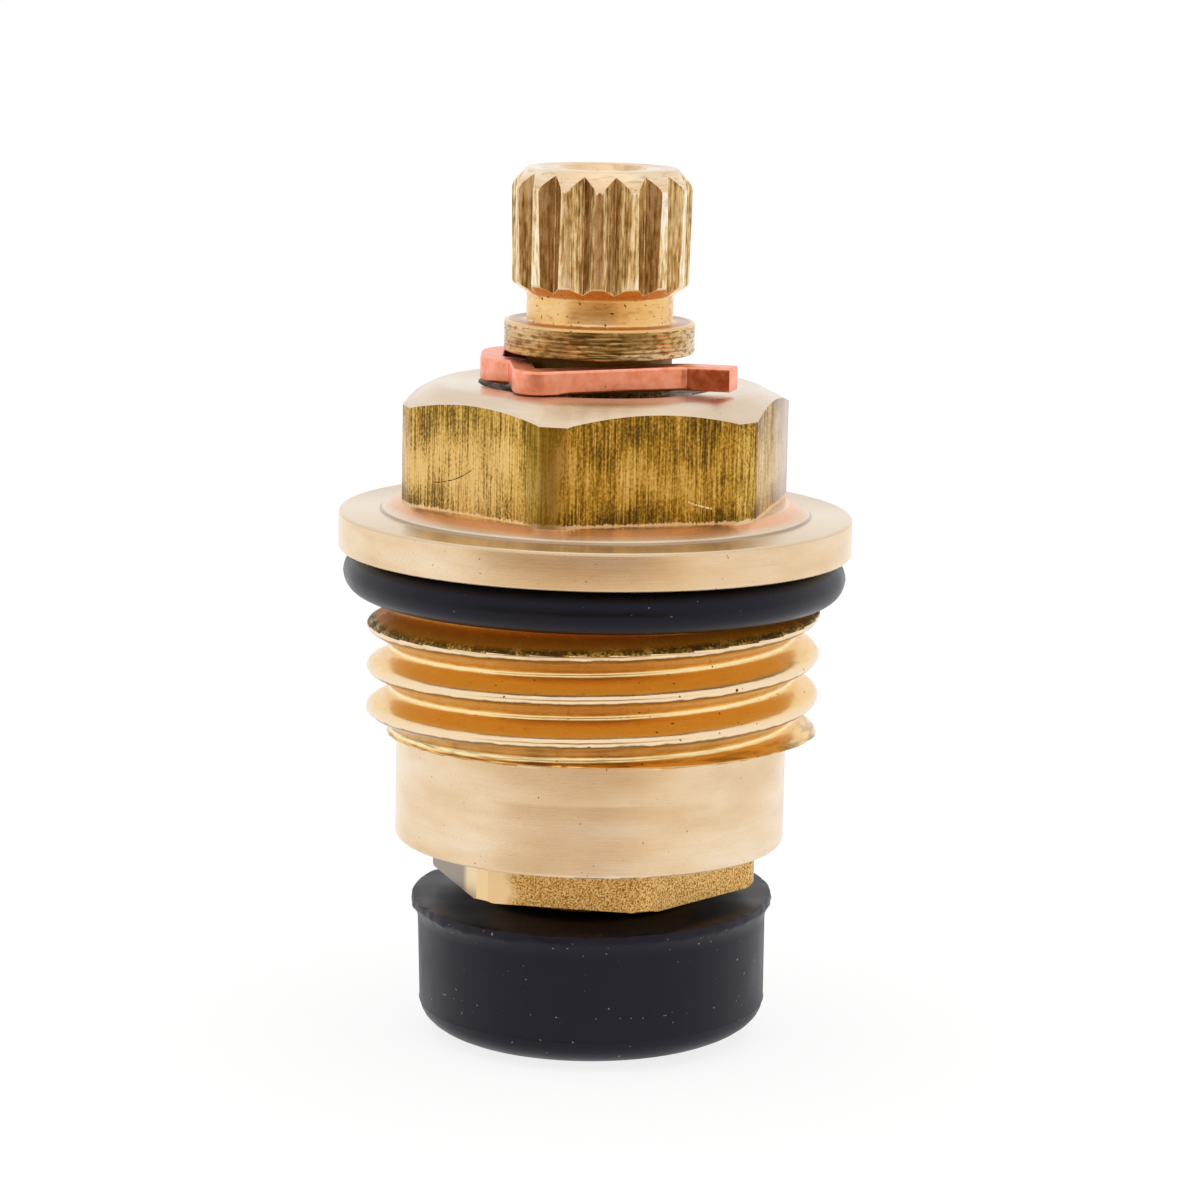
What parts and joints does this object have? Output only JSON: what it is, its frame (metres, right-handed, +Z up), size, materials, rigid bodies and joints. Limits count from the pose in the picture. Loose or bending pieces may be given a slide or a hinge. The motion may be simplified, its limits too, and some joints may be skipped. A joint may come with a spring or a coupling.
{
  "type": "tap headwork",
  "caption": "Brass tap headwork with a splined spindle, hexagonal flanged body, seal ring, spring clip and a sliding rubber tap washer.",
  "frame": {"origin": "centre of the tap washer's sealing face, on the spindle's axis", "axes": "+Z up the spindle's axis to the splined head; -Y towards the picture's camera; +X to its right"},
  "size_m": [0.0236, 0.0236, 0.0404],
  "materials": {
    "body_brass": "turned outside, drawn and tarnished hexagon flats",
    "spindle_brass": "turned, with rolled splines",
    "slider_brass": "drawn, with fine dark speckle",
    "phosphor_bronze": "drawn square wire, copper coloured",
    "nitrile_rubber": "moulded, satin",
    "washer_rubber": "moulded, satin, dusty",
    "acetal": "natural white"
  },
  "bodies": {
    "body": {"headwork_body": "body_brass", "flange_o_ring": "nitrile_rubber", "thrust_washer": "acetal"},
    "spindle": {"spindle": "spindle_brass", "retaining_clip": "phosphor_bronze", "spindle_o_ring_upper": "nitrile_rubber", "spindle_o_ring_lower": "nitrile_rubber"},
    "slider": {"slider": "slider_brass", "tap_washer": "washer_rubber", "washer_plate": "slider_brass", "washer_screw": "slider_brass"}
  },
  "joints": [
    {"name": "spindle_turn", "type": "hinge", "parent": "body", "child": "spindle", "pos_m": [0, 0, 0.03], "axis": [0, 0, 1], "range_deg": [-540, 432]},
    {"name": "slider_travel", "type": "slide", "parent": "body", "child": "slider", "axis": [0, 0, 1], "range_m": [-0.003, 0.0024]}
  ],
  "couplings": [
    {"joint": "slider_travel", "follows": "spindle_turn", "m_per_rad": 0.000318}
  ]
}
